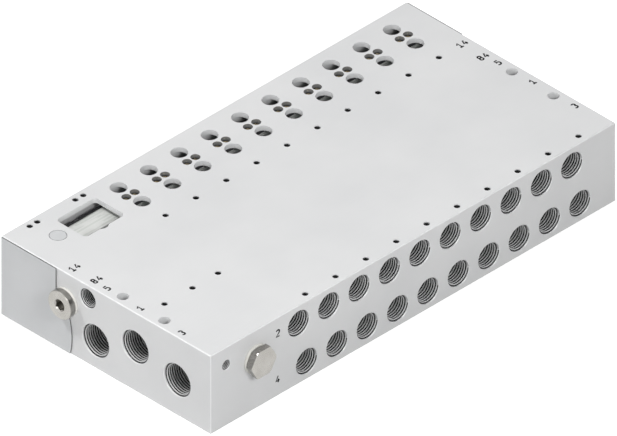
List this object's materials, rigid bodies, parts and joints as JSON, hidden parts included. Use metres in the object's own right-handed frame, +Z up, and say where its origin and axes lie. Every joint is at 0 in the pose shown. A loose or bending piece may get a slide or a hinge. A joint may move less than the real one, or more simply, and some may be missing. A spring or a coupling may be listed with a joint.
{
  "type": "manifold rail",
  "caption": "Aluminium valve manifold rail with ducts along its length, threaded ports on one side and both ends, a closed wiring duct and plugged side ports.",
  "frame": {"origin": "centre of the underside of the block", "axes": "+X along the rail, away from the end with the plugged port; +Y towards the wiring duct, away from the rows of ports; +Z up"},
  "size_m": [0.2584, 0.1365, 0.0425],
  "materials": {
    "aluminium": "fine satin, natural anodised",
    "cap_plastic": "fine grained, light grey",
    "dark_plastic": "smooth, black",
    "board": "white solder mask, with the tracks faintly under it",
    "contact_metal": "bright",
    "plug_metal": "nickel plated, turned",
    "rubber": "smooth, black",
    "ring_nylon": "smooth, natural nylon"
  },
  "bodies": {
    "root": {"manifold_block": "aluminium", "end_cap_near": "cap_plastic", "end_cap_far": "cap_plastic", "cap_seal_near": "rubber", "cap_seal_far": "rubber", "interlink_board": "board", "board_strip": "dark_plastic", "contact_sleeves": "contact_metal", "access_plug": "cap_plastic", "pilot_plug": "plug_metal", "pilot_plug_seal": "ring_nylon", "side_plug": "plug_metal", "side_plug_seal": "ring_nylon", "contact_socket_1": "dark_plastic", "contact_socket_2": "dark_plastic", "contact_socket_3": "dark_plastic", "contact_socket_4": "dark_plastic", "contact_socket_5": "dark_plastic", "contact_socket_6": "dark_plastic", "contact_socket_7": "dark_plastic", "contact_socket_8": "dark_plastic", "contact_socket_9": "dark_plastic", "contact_socket_10": "dark_plastic"}
  },
  "joints": []
}
